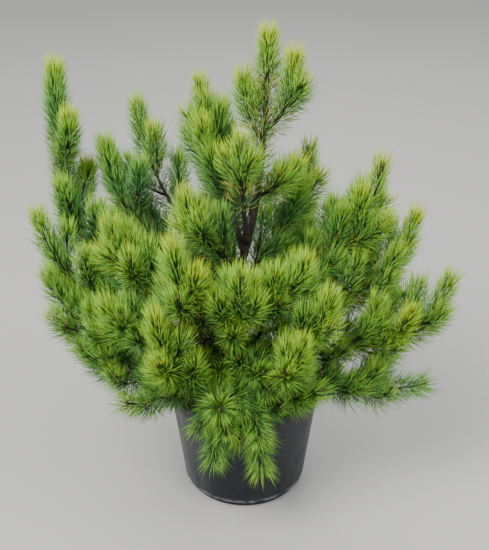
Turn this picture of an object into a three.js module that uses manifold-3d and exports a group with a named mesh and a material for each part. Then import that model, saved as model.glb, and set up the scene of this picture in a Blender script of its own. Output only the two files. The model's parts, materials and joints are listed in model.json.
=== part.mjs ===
// A mountain pine in a round black nursery pot, about a metre tall.
// Millimetres, +Z up.  The origin is the centre of the pot's flat underside,
// the front is towards -Y and the right-hand side towards +X.
import * as THREE from "three";
import { mergeVertices } from "three/addons/utils/BufferGeometryUtils.js";
import Module from "manifold-3d";

const wasm = await Module();
wasm.setup();

// ---- driving dimensions ------------------------------------------------------

const CLEARANCE = 0.3; // left between pieces that touch on the real plant

// Pot: a tapered shell with a rolled rim and a smaller foot.
const POT_HEIGHT = 240;
const RIM_RADIUS = 160;
const RIM_BAND = 21; // height of the rolled rim
const RIM_PROUD = 4.5; // how far the rim stands out of the wall
const LIP_RADIUS = 128; // where the wall ends, just above the foot
const FOOT_RADIUS = 121;
const FOOT_HEIGHT = 14;
const WALL = 3.2;
const FLOOR_THICK = 4;
const EDGE = 2; // chamfers on the pot's moulded edges
const POT_SIDES = 24;
const COMPOST_TOP = 205;

// Trunk: x, y, z and radius, from the flat cut on the compost to its tip.
const TRUNK = [
  [-44, -36, COMPOST_TOP + CLEARANCE, 24],
  [-46, -36, 219, 16],
  [-46, -35, 252, 13],
  [-38, -28, 340, 11],
  [-22, -14, 450, 9],
  [6, 0, 556, 7.5],
  [24, 16, 645, 6.2],
  [36, 36, 755, 5],
  [39, 41, 815, 4.5],
];
const TRUNK_SIDES = 10;

// Limbs: a bough and the needles that it carries share one curve.  It leaves the
// trunk at the height `at`, and its needles end at an azimuth and reach about the
// pot's axis, at the height `top`.  `leave` and `finish` are its slopes in degrees,
// `bare` is the share of the curve that is bough, and up to `shoots` side shoots are
// set round the rest from `spin` on.  Some limbs have their own root radius `thick`,
// length of side shoots `side` or stiffness of the curve's ends `pull`.
const LIMB_ROWS = [
  // name, at, azimuth, reach, top, leave, finish, bare, shoots, spin, the limb's own values
  ["top", 815, 44, 58, 972, 88, 90, 0, 0, 200],
  ["top_right", 768, 12, 94, 938, 35, 84, 0, 1, 45],
  ["top_left", 748, 93, 60, 890, 40, 84, 0, 1, 90],
  ["upper_right", 640, 16, 105, 735, 35, 82, 0, 5, 75],
  ["fork_front", 556, -96, 62, 814, 62, 86, 0.38, 4, 0],
  ["fork_left", 535, 128, 140, 864, 55, 84, 0.4, 6, 60],
  ["back_left_high", 430, 143, 265, 805, 50, 84, 0.38, 3, 175],
  ["left_high", 318, 170, 352, 905, 20, 92, 0.42, 6, 80, { side: 105, pull: 0.5 }],
  ["left_inner", 400, 166, 275, 760, 35, 82, 0, 4, 175],
  ["inner_left", 500, -156, 122, 700, 45, 84, 0, 5, 0],
  ["left_out", 298, -171, 386, 668, 30, 82, 0.42, 6, 150],
  ["left_front_high", 375, -156, 267, 673, 38, 84, 0.42, 5, 80],
  ["left_low", 236, -166, 384, 562, 22, 74, 0.42, 6, 120],
  ["left_front", 345, -147, 305, 540, 30, 76, 0, 6, 60],
  ["left_skirt", 217, -159, 352, 412, 24, 50, 0.38, 6, 60],
  ["left_foot", 256, -147, 300, 298, 34, 30, 0, 6, 10],
  ["front_left_high", 272, -123, 227, 669, 66, 84, 0.42, 5, 20, { thick: 8.5 }],
  ["front_left", 238, -126, 272, 543, 30, 80, 0.34, 5, 0],
  ["front_star", 217, -101, 246, 326, 34, 22, 0, 7, 0, { side: 85 }],
  ["front_hang", 287, -80, 232, 134, 35, -62, 0, 4, 180, { side: 80, pull: 0.7 }],
  ["front_hang_left", 250, -105, 234, 158, 34, -62, 0, 3, 40, { side: 75, pull: 0.7 }],
  ["front_spray", 318, -90, 236, 233, 32, -12, 0, 3, 100, { side: 70, pull: 0.6 }],
  ["front_tuft", 340, -78, 205, 402, 32, 50, 0, 5, 20, { side: 80 }],
  ["front_mid", 362, -92, 191, 612, 35, 82, 0, 5, 45],
  ["front_right_high", 400, -47, 166, 602, 30, 80, 0, 6, 0],
  ["front_right", 256, -62, 236, 480, 30, 76, 0.38, 7, 30],
  ["front_right_low", 222, -50, 250, 352, 32, 42, 0, 7, 80],
  ["right_front", 318, -46, 230, 556, 30, 80, 0, 6, 70],
  ["right_low", 236, -13, 396, 292, 26, 18, 0.38, 8, 150, { side: 85 }],
  ["right_far", 282, -9, 400, 536, 20, 78, 0.42, 7, 100],
  ["right_mid", 325, 3, 332, 632, 28, 82, 0.42, 6, 115],
  ["right_high", 370, 10, 266, 728, 35, 86, 0.42, 6, 295],
  ["back_right_high", 450, 44, 182, 726, 35, 82, 0, 6, 10],
  ["right_back", 345, 34, 285, 600, 28, 78, 0.4, 6, 50],
  ["back_high", 478, 100, 235, 715, 35, 80, 0, 6, 0],
  ["back_right", 295, 64, 335, 530, 26, 74, 0.4, 7, 30],
  ["back", 262, 104, 330, 530, 28, 74, 0.4, 7, 60],
  ["back_left", 362, 140, 345, 590, 26, 76, 0.4, 7, 0],
];
const LIMBS = LIMB_ROWS.map(
  ([name, at, azimuth, reach, top, leave, finish, bare, shoots, spin, own]) => ({
    ...{ name, at, azimuth, reach, top, leave, finish, bare, shoots, spin },
    ...own,
  }),
);
const BOUGH_RADIUS = 6; // where a bough leaves the trunk
const STEM_RADIUS = 4.5; // where a stem of needles leaves the trunk
const SHOOT_RADIUS = 3; // at the tip of every shoot
const BOUGH_SIDES = 6;
const CURVE_PULL = 0.4; // how far a limb keeps its first and last slopes, as a share
const BOUGH_STEP = 90; // along a bough, between its rings
const BOUGH_LEAST = 3; // stretches between rings on the shortest bough

// Needles: each stands out of one face of its shoot's slim core.
const NEEDLE = 46;
const NEEDLE_LEAN = 36; // degrees between a needle and its shoot
const NEEDLE_PITCH = 28; // along the shoot
const NEEDLE_RUN = 105; // length of the part of a shoot that has needles
const NEEDLE_TWIST = 24; // degrees from one ring of needles to the next
const OVERHANG = 34; // how far the last needles reach past the shoot's end
const CORE_SIDES = 3;
const BARE_STEP = 50; // along the part of a stem that has no needles
const NEEDLED_SHARE = 0.78; // the most of a shoot that has needles
const NEEDLE_SCATTER = 0.3; // of a needle's length, as a share

// Side shoots
const SIDE_LENGTH = 115;
const SIDE_SPREAD = 38; // degrees between a side shoot and its stem
const GOLDEN_ANGLE = 137.5; // from one side shoot to the next, round the stem
const SHOOTS_FROM = 0.36; // no side shoot leaves its limb's curve before this share
const FIRST_SHOOT = 0.04; // where the first and the last may leave the rest of the curve
const LAST_SHOOT = 0.66;
const UNDER_LEADER = 0.68; // the longest side shoot, as a share of the stem beyond it
const KNEE = 0.55; // where a side shoot bends, as a share of its length
const TO_LIGHT = 0.7; // how far it then turns to the light
const SEAT_SCATTER = 0.6; // the rule's seeded scatter: of seats, in seats,
const TURN_SCATTER = 24; // of the turn about the stem, in degrees,
const SPREAD_SCATTER = 14; // of the spread, in degrees,
const LENGTH_SCATTER = 0.24; // of the length, as a share
const SHOOT_SIZES = [1, 0.8, 0.65]; // a shoot that doesn't fit is tried shorter

// Spaces kept free
const MASS_MARGIN = 7; // a needle is nearer its own stems than others' by this
const SHOOT_ROOM = 5; // between a needle and any other stem of its own mass
const LIMB_ROOM = 2; // between a needle and a limb
const TWIG_ROOM = 13; // between the axes of twigs of different masses
const REACH_ROOM = 22; // side shoots may reach this much further than their limb
const TOP_ROOM = 8; // and this much higher on a steep limb
const FLAT_RISE = 62; // and this much more on a level one
const POT_ROOM = 5;
const FLOOR_ROOM = 12;
const SHOOT_PROBES = [0.3, 0.5, 0.7, 0.85, 1]; // shares of a shoot where its room is tested
const NEEDLE_PROBES = [0.15, 0.35, 0.55, 0.75, 1]; // and of a needle
const LIMB_LINKS = 10; // straight pieces that stand for a limb when room is tested
const SHOOT_LINKS = 6; // and for a side shoot
const ROOT_CUT = 1.2 * CLEARANCE; // how much wider than the trunk a limb's root is cut

const COLOURS = {
  pot: 0x2b2e33,
  compost: 0x3a2c22,
  bark: 0x4f3a2d,
  needles: [0x4f8a2e, 0x6ba238, 0x3d7430, 0x86ad3c],
};

// ---- helpers --------------------------------------------------------------------

const UP = new THREE.Vector3(0, 0, 1);
const radians = THREE.MathUtils.degToRad;
const mix = THREE.MathUtils.lerp;

/** Numbers between 0 and 1 that are the same on every run. */
function seeded(seed) {
  let state = 1 + seed * 7919;
  return () => {
    state = (state * 16807) % 2147483647;
    return state / 2147483647;
  };
}

/** Points of a curve, with a frame carried along without turning about it. */
function framesAlong(curve, params) {
  const frames = [];
  let side = null;
  for (const t of params) {
    const tangent = curve.getTangent(t).normalize();
    const start = Math.abs(tangent.z) < 0.9 ? UP : new THREE.Vector3(1, 0, 0);
    side = side ? side.clone() : new THREE.Vector3().crossVectors(start, tangent);
    side.addScaledVector(tangent, -side.dot(tangent)).normalize();
    const other = new THREE.Vector3().crossVectors(tangent, side);
    frames.push({ point: curve.getPoint(t), tangent, side, other });
  }
  return frames;
}

/** A ring of points round a frame. */
function ringAt(frame, radius, sides, turn) {
  const ring = [];
  for (let k = 0; k < sides; k += 1) {
    const angle = turn + (2 * Math.PI * k) / sides;
    const point = frame.point.clone();
    point.addScaledVector(frame.side, radius * Math.cos(angle));
    point.addScaledVector(frame.other, radius * Math.sin(angle));
    ring.push(point);
  }
  return ring;
}

/** A closed skin over rings.  A face that `raise` gives a point becomes a needle. */
function skin(rings, raise = () => null, tip = null) {
  const sides = rings[0].length;
  const points = rings.flat();
  const index = [];
  const at = (i, k) => i * sides + (k % sides);
  for (let i = 0; i < rings.length - 1; i += 1) {
    for (let k = 0; k < sides; k += 1) {
      const corners = [at(i, k), at(i, k + 1), at(i + 1, k + 1), at(i + 1, k)];
      const apex = raise(i, corners.map((c) => points[c]));
      if (apex) {
        points.push(apex);
        corners.forEach((c, n) => index.push(c, corners[(n + 1) % 4], points.length - 1));
      } else {
        index.push(corners[0], corners[1], corners[2], corners[0], corners[2], corners[3]);
      }
    }
  }
  const last = rings.length - 1;
  for (let k = 1; k < sides - 1; k += 1) index.push(at(0, 0), at(0, k + 1), at(0, k));
  if (tip) {
    points.push(tip);
    for (let k = 0; k < sides; k += 1) index.push(at(last, k), at(last, k + 1), points.length - 1);
  } else {
    for (let k = 1; k < sides - 1; k += 1) index.push(at(last, 0), at(last, k), at(last, k + 1));
  }
  const geometry = new THREE.BufferGeometry();
  geometry.setFromPoints(points);
  geometry.setIndex(index);
  return geometry;
}

/** A closed geometry, as a solid that can be cut and joined. */
function toSolid(geometry) {
  return new wasm.Manifold(
    new wasm.Mesh({
      numProp: 3,
      vertProperties: new Float32Array(geometry.getAttribute("position").array),
      triVerts: new Uint32Array(geometry.getIndex().array),
    }),
  );
}

function toGeometry(solid) {
  const mesh = solid.getMesh();
  const geometry = new THREE.BufferGeometry();
  geometry.setAttribute("position", new THREE.BufferAttribute(mesh.vertProperties, 3));
  geometry.setIndex(new THREE.BufferAttribute(mesh.triVerts, 1));
  return geometry;
}

const plant = new THREE.Group();

function addPiece(name, geometry, color, roughness, metalness = 0) {
  geometry.computeVertexNormals();
  const material = new THREE.MeshStandardMaterial({ color, roughness, metalness });
  const mesh = new THREE.Mesh(geometry, material);
  mesh.name = name;
  plant.add(mesh);
}

// ---- pot and compost ---------------------------------------------------------------

/** Radius of the outside of the pot's wall at a height. */
function wallRadius(z) {
  const share = (z - FOOT_HEIGHT) / (POT_HEIGHT - FOOT_HEIGHT);
  return mix(LIP_RADIUS, RIM_RADIUS - RIM_PROUD, share);
}

function turned(profile) {
  const points = profile.map(([radius, z]) => new THREE.Vector2(radius, z));
  const geometry = new THREE.LatheGeometry(points, POT_SIDES);
  geometry.rotateX(Math.PI / 2);
  geometry.deleteAttribute("normal");
  geometry.deleteAttribute("uv");
  return mergeVertices(geometry);
}

function makePot() {
  const bandFoot = POT_HEIGHT - RIM_BAND;
  const inside = FOOT_RADIUS - WALL;
  return turned([
    [0, 0],
    [FOOT_RADIUS - EDGE, 0],
    [FOOT_RADIUS, FOOT_HEIGHT - EDGE],
    [LIP_RADIUS, FOOT_HEIGHT],
    [wallRadius(bandFoot), bandFoot],
    [RIM_RADIUS - EDGE / 4, bandFoot + EDGE],
    [RIM_RADIUS, POT_HEIGHT - 2 * EDGE],
    [RIM_RADIUS - EDGE, POT_HEIGHT],
    [RIM_RADIUS - RIM_PROUD - WALL, POT_HEIGHT],
    [wallRadius(bandFoot) - WALL, bandFoot],
    [LIP_RADIUS - WALL, FOOT_HEIGHT + EDGE],
    [inside, FOOT_HEIGHT],
    [inside, FLOOR_THICK],
    [0, FLOOR_THICK],
  ]);
}

/** The compost fills the pot up to its top, which is rounded off at the wall. */
function makeCompost() {
  const inside = FOOT_RADIUS - WALL - 2 * CLEARANCE;
  const fill = (z) => wallRadius(z) - WALL - EDGE - 2 * CLEARANCE;
  return turned([
    [0, FLOOR_THICK + CLEARANCE],
    [inside, FLOOR_THICK + CLEARANCE],
    [inside, FOOT_HEIGHT + EDGE],
    [fill(FOOT_HEIGHT), FOOT_HEIGHT + 2 * EDGE],
    [fill(COMPOST_TOP), COMPOST_TOP - 3 * EDGE],
    [fill(COMPOST_TOP) - 3 * EDGE, COMPOST_TOP],
    [0, COMPOST_TOP],
  ]);
}

// ---- trunk ------------------------------------------------------------------------------

const trunkPoints = TRUNK.map(([x, y, z]) => new THREE.Vector3(x, y, z));
const trunkRadii = TRUNK.map((row) => row[3]);

/** A level ring round the trunk, so that its foot is a flat cut. */
function trunkRing(station, grow) {
  const [x, y, z, radius] = TRUNK[station];
  const level = {
    point: new THREE.Vector3(x, y, z),
    side: new THREE.Vector3(1, 0, 0),
    other: new THREE.Vector3(0, 1, 0),
  };
  return ringAt(level, radius + grow, TRUNK_SIDES, 0);
}

function makeTrunk(grow = 0) {
  return skin(TRUNK.map((row, station) => trunkRing(station, grow)));
}

/** Centre of the trunk at a height. */
function trunkAt(z) {
  let station = 0;
  while (station < TRUNK.length - 2 && TRUNK[station + 1][2] < z) station += 1;
  const low = trunkPoints[station];
  const high = trunkPoints[station + 1];
  return low.clone().lerp(high, Math.min(1, (z - low.z) / (high.z - low.z)));
}

// ---- limbs: curves --------------------------------------------------------------------

function slopeVector(outward, degrees) {
  const vector = outward.clone().multiplyScalar(Math.cos(radians(degrees)));
  return vector.addScaledVector(UP, Math.sin(radians(degrees)));
}

/** The whole curve of a limb, from the middle of the trunk to its last needles' roots. */
function limbCurve(limb) {
  const start = trunkAt(limb.at);
  const angle = radians(limb.azimuth);
  const target = new THREE.Vector3(Math.cos(angle), Math.sin(angle), 0);
  target.multiplyScalar(limb.reach).setZ(limb.top);
  const outward = new THREE.Vector3(target.x - start.x, target.y - start.y, 0).normalize();
  const leave = slopeVector(outward, limb.leave);
  const finish = slopeVector(outward, limb.finish);
  const end = target.addScaledVector(finish, -OVERHANG);
  const pull = (limb.pull ?? CURVE_PULL) * start.distanceTo(end);
  return new THREE.CubicBezierCurve3(
    start,
    start.clone().addScaledVector(leave, pull),
    end.clone().addScaledVector(finish, -pull),
    end,
  );
}

function limbRadius(limb, t) {
  const root = limb.thick ?? (limb.bare > 0 ? BOUGH_RADIUS : STEM_RADIUS);
  return mix(root, SHOOT_RADIUS, Math.sqrt(t));
}

/** One side shoot: it leaves its stem at an angle and bends up towards the light. */
function sideShoot({ limb, curve, first }, number, random) {
  const scatter = (range) => range * (random() - 0.5);
  const seat = (number + SEAT_SCATTER * random()) / limb.shoots;
  const t = mix(Math.max(first, SHOOTS_FROM), 1, mix(FIRST_SHOOT, LAST_SHOOT, seat));
  const [frame] = framesAlong(curve, [t]);
  const round = radians(limb.spin + number * GOLDEN_ANGLE + scatter(TURN_SCATTER));
  const spread = radians(SIDE_SPREAD + scatter(SPREAD_SCATTER));
  const longest = UNDER_LEADER * curve.getPoint(1).distanceTo(frame.point);
  const full = Math.min(limb.side ?? SIDE_LENGTH, longest) * (1 + scatter(LENGTH_SCATTER));
  const out = frame.side.clone().multiplyScalar(Math.cos(round));
  out.addScaledVector(frame.other, Math.sin(round));
  const away = frame.tangent.clone().multiplyScalar(Math.cos(spread));
  away.addScaledVector(out, Math.sin(spread));
  const light = limb.finish > 0 ? UP : curve.getTangent(1);
  const bent = away.clone().lerp(light, TO_LIGHT).normalize();
  return (size) => {
    const knee = frame.point.clone().addScaledVector(away, KNEE * full * size);
    const end = knee.clone().addScaledVector(bent, (1 - KNEE) * full * size);
    return new THREE.QuadraticBezierCurve3(frame.point, knee, end);
  };
}

/** Short straight pieces of a curve, to measure distances to. */
function chain(curve, from, to, radiusAt, pieces = LIMB_LINKS) {
  const links = [];
  for (let i = 0; i < pieces; i += 1) {
    const t0 = mix(from, to, i / pieces);
    const t1 = mix(from, to, (i + 1) / pieces);
    const line = new THREE.Line3(curve.getPoint(t0), curve.getPoint(t1));
    links.push({ line, radius: radiusAt((t0 + t1) / 2) });
  }
  if (to === 1) {
    const end = curve.getPoint(1);
    links.push({ line: new THREE.Line3(end, shootTip(curve)), radius: SHOOT_RADIUS });
  }
  return links;
}

/** Where the last needle of a shoot ends. */
function shootTip(curve) {
  return curve.getPoint(1).addScaledVector(curve.getTangent(1), OVERHANG);
}

const scratch = new THREE.Vector3();

/** Gap between a point and the nearest surface of a chain. */
function gapTo(point, links) {
  let best = Infinity;
  for (const { line, radius } of links) {
    line.closestPointToPoint(point, true, scratch);
    best = Math.min(best, scratch.distanceTo(point) - radius);
  }
  return best;
}

function outsidePot(point, room) {
  if (point.z < FLOOR_ROOM) return false;
  return point.z > POT_HEIGHT + room || Math.hypot(point.x, point.y) > RIM_RADIUS + room;
}

const grownLimbs = new Map();
const limbLinks = []; // trunk and boughs
const stemsOfMass = new Map(); // a mass's name to the links of its own stems

for (let i = 0; i < TRUNK.length - 1; i += 1) {
  const line = new THREE.Line3(trunkPoints[i], trunkPoints[i + 1]);
  limbLinks.push({ line, radius: Math.max(trunkRadii[i], trunkRadii[i + 1]) });
}

LIMBS.forEach((limb, number) => {
  const curve = limbCurve(limb);
  const { bare } = limb;
  const first = bare ? bare + CLEARANCE / curve.getLength() / 2 : 0;
  grownLimbs.set(limb.name, { limb, curve, bare, first, number, shoots: [] });
  const radiusAt = (t) => limbRadius(limb, t);
  if (bare) limbLinks.push(...chain(curve, 0, bare, radiusAt));
  stemsOfMass.set(limb.name, chain(curve, first, 1, radiusAt));
});

/** How high the side shoots of a limb may reach.  A hanging limb sets them no limit. */
function topLimit(limb) {
  if (limb.finish < 0) return Infinity;
  return limb.top + TOP_ROOM + FLAT_RISE * Math.cos(radians(limb.finish));
}

/** Whether a side shoot keeps to its mass's reach and clear of all other stems. */
function shootFits(limb, curve, own) {
  const tip = shootTip(curve);
  if (Math.hypot(tip.x, tip.y) > limb.reach + REACH_ROOM) return false;
  if (tip.z > topLimit(limb)) return false;
  const outer = SHOOT_PROBES.map((t) => curve.getPoint(t));
  outer.push(tip);
  return outer.every((point, i) => {
    if (!outsidePot(point, TWIG_ROOM)) return false;
    if (gapTo(point, limbLinks) < TWIG_ROOM) return false;
    if (i > 0 && gapTo(point, own) < TWIG_ROOM / 2) return false;
    return [...stemsOfMass].every(([name, stems]) => name === limb.name || gapTo(point, stems) >= TWIG_ROOM);
  });
}

for (const grown of grownLimbs.values()) {
  const random = seeded(grown.number + 1);
  const own = stemsOfMass.get(grown.limb.name);
  for (let number = 0; number < grown.limb.shoots; number += 1) {
    const sized = sideShoot(grown, number, random);
    const curve = SHOOT_SIZES.map(sized).find((shoot) => shootFits(grown.limb, shoot, own));
    if (!curve) continue;
    const links = chain(curve, 0, 1, () => SHOOT_RADIUS, SHOOT_LINKS);
    grown.shoots.push({ curve, links });
    own.push(...links);
  }
}

// ---- needles -------------------------------------------------------------------------------

/** Whether a needle stays in its mass's space and clear of every limb and stem. */
function needleFits(name, ownLinks, root, apex) {
  for (const share of NEEDLE_PROBES) {
    const point = root.clone().lerp(apex, share);
    if (!outsidePot(point, POT_ROOM)) return false;
    if (gapTo(point, limbLinks) < LIMB_ROOM) return false;
    const own = gapTo(point, ownLinks);
    for (const [other, stems] of stemsOfMass) {
      const sameMass = other === name;
      const others = sameMass ? stems.filter((link) => !ownLinks.includes(link)) : stems;
      if (others.length === 0) continue;
      const gap = gapTo(point, others);
      if (sameMass && gap < SHOOT_ROOM) return false;
      if (!sameMass && gap < own + MASS_MARGIN) return false;
    }
  }
  return true;
}

/** A shoot: a bare stretch, then rings whose faces are drawn out into needles. */
function makeShoot(name, curve, from, rootRadius, links, random) {
  const length = curve.getLength() * (1 - from);
  const run = Math.min(NEEDLE_RUN, NEEDLED_SHARE * length);
  const needleRings = Math.max(2, Math.round(run / NEEDLE_PITCH));
  const bareRings = Math.max(1, Math.round((length - run) / BARE_STEP));
  const foot = mix(from, 1, 1 - run / length);
  const params = [];
  for (let i = 0; i < bareRings; i += 1) params.push(mix(from, foot, i / bareRings));
  for (let i = 0; i <= needleRings; i += 1) params.push(mix(foot, 1, i / needleRings));
  const frames = framesAlong(curve, params);
  const rings = frames.map((frame, i) => {
    const radius = mix(rootRadius, SHOOT_RADIUS, i / (frames.length - 1));
    return ringAt(frame, radius, CORE_SIDES, radians(NEEDLE_TWIST) * Math.max(0, i - bareRings));
  });
  const lean = radians(NEEDLE_LEAN);
  const raise = (i, corners) => {
    if (i < bareRings) return null;
    const middle = frames[i].point.clone().add(frames[i + 1].point).multiplyScalar(0.5);
    const root = corners.reduce((sum, c) => sum.add(c), new THREE.Vector3()).multiplyScalar(0.25);
    const out = root.clone().sub(middle).normalize();
    const reach = NEEDLE * (1 + NEEDLE_SCATTER * (random() - 0.5));
    const apex = root.clone().addScaledVector(out, reach * Math.sin(lean));
    apex.addScaledVector(frames[i].tangent, reach * Math.cos(lean));
    return needleFits(name, links, root, apex) ? apex : null;
  };
  return skin(rings, raise, shootTip(curve));
}

// ---- limbs: solids -----------------------------------------------------------------------------

/** The trunk, a little larger all round, to cut the root of a limb with. */
const trunkCutter = toSolid(makeTrunk(ROOT_CUT));

function makeBough({ limb, curve, bare }) {
  const steps = Math.max(BOUGH_LEAST, Math.round((curve.getLength() * bare) / BOUGH_STEP));
  const params = Array.from({ length: steps + 1 }, (unused, i) => (bare * i) / steps);
  const rings = framesAlong(curve, params).map((frame, i) =>
    ringAt(frame, limbRadius(limb, params[i]), BOUGH_SIDES, 0),
  );
  return toSolid(skin(rings)).subtract(trunkCutter);
}

function makeNeedleMass(grown) {
  const { limb, curve, first, bare } = grown;
  const random = seeded(500 + grown.number);
  const all = stemsOfMass.get(limb.name);
  const sideLinks = grown.shoots.flatMap((shoot) => shoot.links);
  const stemLinks = all.filter((link) => !sideLinks.includes(link));
  const rootRadius = limbRadius(limb, first);
  let mass = toSolid(makeShoot(limb.name, curve, first, rootRadius, stemLinks, random));
  for (const shoot of grown.shoots) {
    const twig = makeShoot(limb.name, shoot.curve, 0, SHOOT_RADIUS, shoot.links, random);
    mass = mass.add(toSolid(twig));
  }
  return bare ? mass : mass.subtract(trunkCutter);
}

// ---- assembly --------------------------------------------------------------------------------------

addPiece("pot", makePot(), COLOURS.pot, 0.5);
addPiece("compost", makeCompost(), COLOURS.compost, 0.95);
addPiece("trunk", makeTrunk(), COLOURS.bark, 0.9);
for (const grown of grownLimbs.values()) {
  const { limb, bare, number } = grown;
  if (bare) {
    addPiece(`bough_${limb.name}`, toGeometry(makeBough(grown)), COLOURS.bark, 0.9);
  }
  const colour = COLOURS.needles[number % COLOURS.needles.length];
  addPiece(`needles_${limb.name}`, toGeometry(makeNeedleMass(grown)), colour, 0.6);
}

export default plant;
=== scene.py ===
"""A mountain pine in a nursery pot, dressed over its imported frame.

The crown grows here by the same rule as the frame's solids, from the same tables,
and is carried finer: more shoots, bark with relief, and every needle.
Lengths in the growing rules are millimetres, and meshes are made in metres.
"""

import functools
import json
import math
from collections import namedtuple

import bpy
import numpy as np
from bpy.props import FloatProperty, FloatVectorProperty, IntProperty, PointerProperty
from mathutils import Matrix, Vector, noise

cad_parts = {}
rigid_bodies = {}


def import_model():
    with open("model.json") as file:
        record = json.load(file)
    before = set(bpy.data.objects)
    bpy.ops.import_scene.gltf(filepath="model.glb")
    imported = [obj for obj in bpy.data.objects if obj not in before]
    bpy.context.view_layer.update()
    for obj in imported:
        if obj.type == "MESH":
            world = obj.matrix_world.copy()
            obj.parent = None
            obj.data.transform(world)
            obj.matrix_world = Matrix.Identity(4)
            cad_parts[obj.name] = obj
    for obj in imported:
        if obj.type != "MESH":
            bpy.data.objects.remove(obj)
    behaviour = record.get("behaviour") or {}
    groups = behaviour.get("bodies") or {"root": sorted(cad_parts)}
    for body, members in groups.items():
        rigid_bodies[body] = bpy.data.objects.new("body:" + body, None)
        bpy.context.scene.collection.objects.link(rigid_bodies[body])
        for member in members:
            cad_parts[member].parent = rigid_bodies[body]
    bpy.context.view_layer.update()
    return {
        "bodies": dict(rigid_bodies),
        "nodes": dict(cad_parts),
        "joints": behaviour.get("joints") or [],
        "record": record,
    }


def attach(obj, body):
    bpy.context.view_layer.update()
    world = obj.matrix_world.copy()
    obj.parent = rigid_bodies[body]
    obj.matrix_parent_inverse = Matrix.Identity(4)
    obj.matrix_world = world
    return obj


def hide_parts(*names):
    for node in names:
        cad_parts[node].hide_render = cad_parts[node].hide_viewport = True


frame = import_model()

bl_info = {
    "name": "Potted mountain pine",
    "version": (1, 0, 0),
    "blender": (4, 5, 0),
    "location": "3D View > Sidebar > Potted pine",
    "description": "Makes the pot, the bark, the twigs and the needles of a potted pine",
    "category": "Object",
}

MM = 0.001

# ---- the plant's tables ----

# Pot, in millimetres
POT_HEIGHT = 240
RIM_RADIUS = 160
RIM_BAND = 21
RIM_PROUD = 4.5
LIP_RADIUS = 128
FOOT_RADIUS = 121
FOOT_HEIGHT = 14
WALL = 3.2
COMPOST_TOP = 205

# Trunk: x, y, z and radius, from the cut on the compost to its tip
TRUNK = [
    (-44, -36, 205.3, 24),
    (-46, -36, 219, 16),
    (-46, -35, 252, 13),
    (-38, -28, 340, 11),
    (-22, -14, 450, 9),
    (6, 0, 556, 7.5),
    (24, 16, 645, 6.2),
    (36, 36, 755, 5),
    (39, 41, 815, 4.5),
]

# Limbs: name, height on the trunk, azimuth, reach and top of the tip, slope at the
# root, slope at the tip, share that is bare bough, side shoots, turn of the first
# side shoot, and the limb's own values
LIMB_FIELDS = "name at azimuth reach top leave finish bare shoots spin own"
Limb = namedtuple("Limb", LIMB_FIELDS, defaults=[{}])
LIMB_ROWS = [
    ("top", 815, 44, 58, 972, 88, 90, 0, 0, 200),
    ("top_right", 768, 12, 94, 938, 35, 84, 0, 1, 45),
    ("top_left", 748, 93, 60, 890, 40, 84, 0, 1, 90),
    ("upper_right", 640, 16, 105, 735, 35, 82, 0, 5, 75),
    ("fork_front", 556, -96, 62, 814, 62, 86, 0.38, 4, 0),
    ("fork_left", 535, 128, 140, 864, 55, 84, 0.4, 6, 60),
    ("back_left_high", 430, 143, 265, 805, 50, 84, 0.38, 3, 175),
    ("left_high", 318, 170, 352, 905, 20, 92, 0.42, 6, 80, {"side": 105, "pull": 0.5}),
    ("left_inner", 400, 166, 275, 760, 35, 82, 0, 4, 175),
    ("inner_left", 500, -156, 122, 700, 45, 84, 0, 5, 0),
    ("left_out", 298, -171, 386, 668, 30, 82, 0.42, 6, 150),
    ("left_front_high", 375, -156, 267, 673, 38, 84, 0.42, 5, 80),
    ("left_low", 236, -166, 384, 562, 22, 74, 0.42, 6, 120),
    ("left_front", 345, -147, 305, 540, 30, 76, 0, 6, 60),
    ("left_skirt", 217, -159, 352, 412, 24, 50, 0.38, 6, 60),
    ("left_foot", 256, -147, 300, 298, 34, 30, 0, 6, 10),
    ("front_left_high", 272, -123, 227, 669, 66, 84, 0.42, 5, 20, {"thick": 8.5}),
    ("front_left", 238, -126, 272, 543, 30, 80, 0.34, 5, 0),
    ("front_star", 217, -101, 246, 326, 34, 22, 0, 7, 0, {"side": 85}),
    ("front_hang", 287, -80, 232, 134, 35, -62, 0, 4, 180, {"side": 80, "pull": 0.7}),
    ("front_hang_left", 250, -105, 234, 158, 34, -62, 0, 3, 40, {"side": 75, "pull": 0.7}),
    ("front_spray", 318, -90, 236, 233, 32, -12, 0, 3, 100, {"side": 70, "pull": 0.6}),
    ("front_tuft", 340, -78, 205, 402, 32, 50, 0, 5, 20, {"side": 80}),
    ("front_mid", 362, -92, 191, 612, 35, 82, 0, 5, 45),
    ("front_right_high", 400, -47, 166, 602, 30, 80, 0, 6, 0),
    ("front_right", 256, -62, 236, 480, 30, 76, 0.38, 7, 30),
    ("front_right_low", 222, -50, 250, 352, 32, 42, 0, 7, 80),
    ("right_front", 318, -46, 230, 556, 30, 80, 0, 6, 70),
    ("right_low", 236, -13, 396, 292, 26, 18, 0.38, 8, 150, {"side": 85}),
    ("right_far", 282, -9, 400, 536, 20, 78, 0.42, 7, 100),
    ("right_mid", 325, 3, 332, 632, 28, 82, 0.42, 6, 115),
    ("right_high", 370, 10, 266, 728, 35, 86, 0.42, 6, 295),
    ("back_right_high", 450, 44, 182, 726, 35, 82, 0, 6, 10),
    ("right_back", 345, 34, 285, 600, 28, 78, 0.4, 6, 50),
    ("back_high", 478, 100, 235, 715, 35, 80, 0, 6, 0),
    ("back_right", 295, 64, 335, 530, 26, 74, 0.4, 7, 30),
    ("back", 262, 104, 330, 530, 28, 74, 0.4, 7, 60),
    ("back_left", 362, 140, 345, 590, 26, 76, 0.4, 7, 0),
]

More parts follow.
